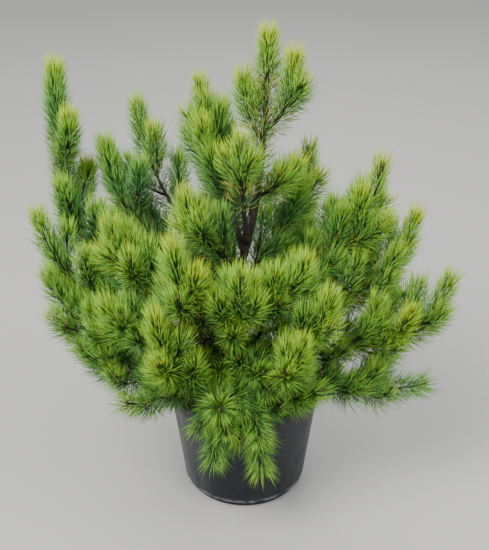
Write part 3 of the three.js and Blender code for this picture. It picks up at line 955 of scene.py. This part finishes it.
class PINE_OT_compost(bpy.types.Operator):
    """Fill the pot with compost, strewn with bark chips"""

    bl_idname = "pine.compost"
    bl_label = "Compost"

    def execute(self, context):
        pot = context.scene.pine_pot
        edge = wall_radius(COMPOST_TOP) - WALL - 0.6
        profile = [(0, COMPOST_TOP - 30), (edge - 6, COMPOST_TOP - 30), (edge - 1, COMPOST_TOP - 4)]
        profile += [(radius, COMPOST_TOP) for radius in np.linspace(edge - 1, 2, 44)]
        profile += [(0, COMPOST_TOP)]
        points, faces = turned(profile, 120)
        for point in points:
            if point[2] >= COMPOST_TOP:
                spot = Vector(point)
                point[2] += self.swell(spot) + 2.2 * noise.noise(spot * 0.16)
        add_piece("compost_fill", points, faces, compost_soil(pot), "compost", ["compost"])
        chips = [self.chip(edge, seeded(3000 + number)) for number in range(pot.chips)]
        add_piece("compost_chips", *gather(chips), chip_bark(pot), "compost", ["compost"])
        return {"FINISHED"}

    def swell(self, spot):
        """How far the compost swells above its level at a place."""
        return 4.5 * noise.noise(spot * 0.035)

    def chip(self, edge, random):
        """A torn flat piece of bark, lying on the compost."""
        radius = (edge - 13) * math.sqrt(random())
        angle = 2 * math.pi * random()
        centre = Vector((radius * math.cos(angle), radius * math.sin(angle), COMPOST_TOP + 2.5))
        centre.z += self.swell(Vector((centre.x, centre.y, COMPOST_TOP)))
        long = Vector((random() - 0.5, random() - 0.5, 0.3 * (random() - 0.5))).normalized()
        flat = (UP + 0.5 * Vector((random() - 0.5, random() - 0.5, 0))).normalized()
        wide = flat.cross(long).normalized()
        half, breadth, thick = 4 + 8 * random(), 2 + 3 * random(), 0.7 + 0.9 * random()
        outline = []
        corners = 7
        for k in range(corners):
            turn = 2 * math.pi * (k + 0.5 * random()) / corners
            torn = 0.75 + 0.4 * random()
            corner = long * half * torn * math.cos(turn) + wide * breadth * torn * math.sin(turn)
            outline.append(corner)
        rings = [
            np.array([centre + corner * grow + flat * rise * thick for corner in outline])
            for grow, rise in ((0.85, -1), (1, 0), (0.8, 1))
        ]
        return tube_mesh(rings)


class PINE_OT_trunk(bpy.types.Operator):
    """Make the trunk with its root flare and plated bark"""

    bl_idname = "pine.trunk"
    bl_label = "Trunk"

    def execute(self, context):
        wood = context.scene.pine_wood
        points, faces = self.bark(wood.relief / MM)
        add_piece("trunk_bark", points, faces, scaly_bark(wood), "bark", ["trunk"])
        return {"FINISHED"}

    def bark(self, depth):
        rings = []
        for x, y, z, radius in smooth_stations(TRUNK, 3.5):
            flare = max(0, 1 - (z - COMPOST_TOP) / FLARE_HEIGHT) ** 2
            ring = []
            for turn in full_turn(TRUNK_SIDES):
                spot = (x + radius * math.cos(turn), y + radius * math.sin(turn), z)
                lobes = 1 + 0.16 * flare * math.cos(5 * turn + 0.6)
                sunk = depth * (1 - bark_height(spot)) * min(1, radius / 9)
                out = radius * lobes + 0.4 * depth - sunk
                ring.append((x + out * math.cos(turn), y + out * math.sin(turn), z))
            rings.append(np.array(ring))
        return tube_mesh(rings)


class PINE_OT_boughs(bpy.types.Operator):
    """Make the boughs, each with a collar where it leaves the trunk"""

    bl_idname = "pine.boughs"
    bl_label = "Boughs"

    def execute(self, context):
        wood = context.scene.pine_wood
        bare = [stem for stem in crown().limbs if stem.limb.bare]
        parts = [self.bough(stem, 0.6 * wood.relief / MM) for stem in bare]
        names = [f"bough_{stem.limb.name}" for stem in bare]
        add_piece("boughs_bark", *gather(parts), scaly_bark(wood), "bark", names)
        return {"FINISHED"}

    def bough(self, stem, depth):
        end = stem.limb.bare + 0.03
        span = (along(stem.controls, end) - stem.controls[0]).length
        params = np.linspace(0, end, max(6, round(span / 6)))
        rings = []
        for t, (point, _, side, other) in zip(params, carried_frames(stem.controls, params)):
            collar = 1 + 0.55 * math.exp(-(((t * span) / COLLAR_LENGTH) ** 2))
            radius = limb_radius(stem.limb, t) * collar
            ring = []
            for turn in full_turn(BOUGH_SIDES):
                out = side * math.cos(turn) + other * math.sin(turn)
                sunk = depth * (1 - bark_height(point + out * radius, 0.8))
                ring.append(point + out * (radius + 0.3 * depth - sunk))
            rings.append(np.array(ring))
        return tube_mesh(rings)


class PINE_OT_twigs(bpy.types.Operator):
    """Make the twig of every shoot, with a bud at its tip"""

    bl_idname = "pine.twigs"
    bl_label = "Twigs"

    def execute(self, context):
        wood = context.scene.pine_wood
        masses = mass_names()
        twigs = [self.twig(shoot) for shoot in crown().shoots]
        add_piece("twigs", *gather(twigs), twig_skin(wood), "bark", masses)
        buds = [self.bud(shoot) for shoot in crown().shoots]
        finish = plain_finish("bud_scales", wood.bud, 0.55)
        add_piece("buds", *gather(buds), finish, "bark", masses)
        return {"FINISHED"}

    def twig(self, shoot):
        span = (shoot.controls[-1] - along(shoot.controls, shoot.first)).length
        params = np.linspace(shoot.first, 1, max(5, round(span / 9)))
        rings = []
        for i, (point, _, side, other) in enumerate(carried_frames(shoot.controls, params)):
            t = i / (len(params) - 1)
            radius = mix(shoot.root, TIP_RADIUS, t) * (1.1 if i % 2 else 0.92)
            rings.append(ring_about(point, side, other, radius, full_turn(TWIG_SIDES) + 0.5 * i))
        return tube_mesh(rings)

    def bud(self, shoot):
        point, ahead, side, other = carried_frames(shoot.controls, [1])[0]
        profile = ((0, 1.2), (2, 2.3), (5, 2.2), (8, 1.2), (10, 0.3))
        return tube_mesh(
            [
                ring_about(point + ahead * forward, side, other, radius, full_turn(TWIG_SIDES))
                for forward, radius in profile
            ]
        )


class PINE_OT_needles(bpy.types.Operator):
    """Set the needles round every shoot, and deal them into pieces by their colour"""

    bl_idname = "pine.needles"
    bl_label = "Needles"

    def execute(self, context):
        needles = context.scene.pine_needles
        masses = mass_names()
        corners = np.array([(0, 2, 1), (0, 3, 2), (0, 1, 3), (4, 1, 2), (4, 2, 3), (4, 3, 1)])
        points, tints = self.needles(needles)
        for tint, name in enumerate(NEEDLE_TINTS):
            chosen = points[tints == tint]
            finish = plain_finish(f"needle_{name}", getattr(needles, name), 0.5, 0.25)
            count = max(1, math.ceil(len(chosen) / PIECE_NEEDLES))
            for number, part in enumerate(np.array_split(chosen, count)):
                faces = (corners[None] + 5 * np.arange(len(part))[:, None, None]).reshape(-1, 3)
                label = f"needles_{name}_{number + 1}"
                add_piece(label, part.reshape(-1, 3), faces.tolist(), finish, "needles", masses)
        return {"FINISHED"}

    def needles(self, settings):
        """Five points and a tint for every needle that is clear of the pot and the wood."""
        shoots = [*crown().shoots, crown().leader]
        lights = self.light_at(np.array([shoot_tip(shoot.controls) for shoot in shoots]))
        parts = []
        for number, (shoot, light) in enumerate(zip(shoots, lights)):
            random = np.random.default_rng(7000 + number)
            parts.append(self.shoot_needles(shoot, light, random, settings))
        points, tints = (np.concatenate(part) for part in zip(*parts))
        clear = np.ones(len(points), bool)
        batches = 60
        for batch in np.array_split(np.arange(len(points)), batches):
            for corner in (1, 4):
                clear[batch] &= outside_pot(points[batch, corner], 2)
                clear[batch] &= gap_to(points[batch, corner], crown().wood) > 0.5
        return points[clear], tints[clear]

    def light_at(self, tips):
        """How much light each tip gets, from how many others stand above and outside it."""
        open_side = tips / np.linalg.norm(tips[:, :2], axis=1)[:, None]
        open_side[:, 2] = 1
        open_side /= np.linalg.norm(open_side, axis=1)[:, None]
        offsets = tips[None] - tips[:, None]
        ahead = (offsets * open_side[:, None]).sum(2)
        aside = np.linalg.norm(offsets - ahead[..., None] * open_side[:, None], axis=2)
        shaded = 1 + SHADING * ((ahead > SHADE_FROM) & (aside < SHADE_REACH)).sum(1)
        return mix(LOW_LIGHT, 1, tips[:, 2] / tips[:, 2].max()) / shaded

    def shoot_needles(self, shoot, light, random, settings):
        """The points and tints of one shoot's needles."""
        habit = HABITS.get(shoot.limb.name, Habit())
        params = np.linspace(shoot.first, 1, SHOOT_STATIONS)
        frames = np.array([[*map(tuple, row)] for row in carried_frames(shoot.controls, params)])
        steps = np.linalg.norm(np.diff(frames[:, 0], axis=0), axis=1)
        distance = np.concatenate([[0], np.cumsum(steps)])
        whole = distance[-1]
        longest = habit.clad or (CLAD if shoot.limb.finish > 0 else HANGING_CLAD)
        clad = min(longest, shoot.clad * whole)
        density = settings.density * habit.density
        young = int(clad * density)
        old_clad = min(OLD_CLAD, whole - clad)
        old = int(old_clad * density * OLD_SHARE)
        young_share = ((np.arange(young) + random.random(young)) / max(1, young)) ** TO_TIP
        old_share = (np.arange(old) + random.random(old)) / max(1, old)
        young_seats = whole - clad + clad * young_share
        seats = np.concatenate([young_seats, whole - clad - old_clad * (1 - old_share)])
        count = young + old
        is_old = np.arange(count) >= young
        forward = np.zeros(count)
        if clad:
            forward = (1 - (whole - seats) / min(CLAD, clad)).clip(0)
        point, ahead, side, other = (
            np.stack([np.interp(seats, distance, frames[:, row, axis]) for axis in range(3)], 1)
            for row in range(4)
        )
        turn = np.radians(GOLDEN_ANGLE) * np.arange(count) + 0.5 * random.normal(size=count)
        out = side * np.cos(turn)[:, None] + other * np.sin(turn)[:, None]
        level, upright = mix(*LEVEL_LEAN, forward**3), mix(*UPRIGHT_LEAN, forward**3)
        lean = mix(level, upright, ahead[:, 2].clip(0, 1)) + 8 * is_old + habit.splay
        lean = np.radians(lean + LEAN_SCATTER * random.normal(size=count))
        is_short_shade = random.random(count) < SHORT_SHADE_SHARE
        size = settings.needle / MM * (0.86 + 0.26 * random.random(count))
        size = size * np.where(is_short_shade, SHORT, 1) * habit.size
        root = point + out * (0.6 * mix(shoot.root, TIP_RADIUS, seats / whole))[:, None]
        bend = np.radians(9 + 4 * random.random(count))
        blades = self.blades(root, ahead, out, lean, bend, size, settings.width / MM)
        height = point[:, 2].clip(0, TALL) / TALL
        # young needles are yellower, and brighter still higher up, where the gain is partly painted
        # light on the upper crown
        youth_and_top_light = mix(*YOUTH, height**1.5) * forward**2.4 + FLUSH * height**2 * forward**9
        # painted light: the shoot's light and its limb's added light go into the tint, with the
        # needles' youth and age
        value = habit.light + LIGHT_WEIGHT * light + youth_and_top_light + SCATTER[0] * random.normal()
        value = value + SCATTER[1] * random.normal(size=count) - OLD_LOSS * is_old
        tints = np.digitize(value, TINT_STEPS)
        chance = random.random(count)
        is_olive = (chance < habit.older) & (is_old | (forward < YOUNG_FROM))
        tints[is_olive] = NEEDLE_TINTS.index("olive")
        # the short needles take the shaded tint: painted shade at the core of each shoot
        tints[is_short_shade] = NEEDLE_TINTS.index("shade")
        tints[chance > RUST_FROM - 0.01 * is_old] = NEEDLE_TINTS.index("rust")
        return blades, tints

    def blades(self, root, ahead, out, lean, bend, size, width):
        """Bent needles, pointed at both ends: root, three points round the middle, and tip."""

        def toward(angle):
            return ahead * np.cos(angle)[:, None] + out * np.sin(angle)[:, None]

        first, second = toward(lean + bend), toward(lean - bend)
        middle = root + first * (0.45 * size)[:, None]
        tip = middle + second * (0.55 * size)[:, None]
        across = np.cross(first, ahead)
        across /= np.linalg.norm(across, axis=1)[:, None]
        outer = np.cross(first, across)
        ring = [
            middle + (across * math.cos(a) + outer * math.sin(a)) * (width / 2)
            for a in np.radians((90, 210, 330))
        ]
        return np.stack([root, *ring, tip], 1)


class PINE_OT_stage(bpy.types.Operator):
    """Lay the floor, and set the lights and the camera"""

    bl_idname = "pine.stage"
    bl_label = "Stage"

    def execute(self, context):
        stage = context.scene.pine_stage
        self.floor(stage)
        self.lights(context, stage)
        self.camera(context, stage)
        return {"FINISHED"}

    def floor(self, stage):
        mesh = bpy.data.meshes.new("floor")
        corners = [(-9, -9, 0), (9, -9, 0), (9, 9, 0), (-9, 9, 0)]
        mesh.from_pydata(corners, [], [(0, 1, 2, 3)])
        mesh.materials.append(plain_finish("floor_paint", stage.floor, 0.9, 0.2))
        add_object("floor", mesh)

    def lights(self, context, stage):
        world = bpy.data.worlds.new("even_sky")
        world.use_nodes = True
        background = world.node_tree.nodes["Background"]
        background.inputs["Color"].default_value = (0.93, 0.97, 1.0, 1)
        background.inputs["Strength"].default_value = stage.sky
        context.scene.world = world
        for name, place, power, size in (
            ("main_light", (-1.4, -1.5, 3.0), stage.lamp, 1.6),
            ("fill_light", (2.2, -0.8, 2.4), 0.35 * stage.lamp, 2.0),
            ("back_light", (0.3, 2.4, 2.6), 0.3 * stage.lamp, 2.0),
        ):
            light = bpy.data.lights.new(name, "AREA")
            light.energy = power
            light.size = size
            lamp = add_object(name, light)
            lamp.location = place
            aim = Vector((0, 0, 0.45)) - lamp.location
            lamp.rotation_euler = aim.to_track_quat("-Z", "Y").to_euler()

    def camera(self, context, stage):
        data = bpy.data.cameras.new("view")
        data.sensor_width = 36
        data.lens = stage.focal
        camera = add_object("view", data)
        camera.location = (0, -stage.distance, stage.height)
        camera.rotation_euler = (math.pi / 2 - stage.pitch, 0, 0)
        context.scene.camera = camera


class VIEW3D_PT_pine(bpy.types.Panel):
    """The settings and the steps that make the potted pine"""

    bl_label = "Potted pine"
    bl_space_type = "VIEW_3D"
    bl_region_type = "UI"
    bl_category = "Potted pine"

    def draw(self, context):
        for settings, _, steps in PANEL_ROWS:
            box = self.layout.box()
            group = getattr(context.scene, settings)
            for name in group.__annotations__:
                box.prop(group, name)
            for step in steps:
                box.operator(f"pine.{step}")


PANEL_ROWS = (
    ("pine_pot", PotSettings, ("pot", "compost")),
    ("pine_wood", WoodSettings, ("trunk", "boughs", "twigs")),
    ("pine_needles", NeedleSettings, ("needles",)),
    ("pine_stage", StageSettings, ("stage",)),
)
GROUPS = {name: group for name, group, _ in PANEL_ROWS}
CLASSES = (
    *GROUPS.values(),
    PINE_OT_pot,
    PINE_OT_compost,
    PINE_OT_trunk,
    PINE_OT_boughs,
    PINE_OT_twigs,
    PINE_OT_needles,
    PINE_OT_stage,
    VIEW3D_PT_pine,
)


def register():
    for each in CLASSES:
        bpy.utils.register_class(each)
    for name, group in GROUPS.items():
        setattr(bpy.types.Scene, name, PointerProperty(type=group))


def unregister():
    for name in GROUPS:
        delattr(bpy.types.Scene, name)
    for each in reversed(CLASSES):
        bpy.utils.unregister_class(each)


def main():
    register()
    bpy.ops.pine.pot()
    bpy.ops.pine.compost()
    bpy.ops.pine.trunk()
    bpy.ops.pine.boughs()
    bpy.ops.pine.twigs()
    bpy.ops.pine.needles()
    bpy.ops.pine.stage()


if __name__ == "__main__":
    main()
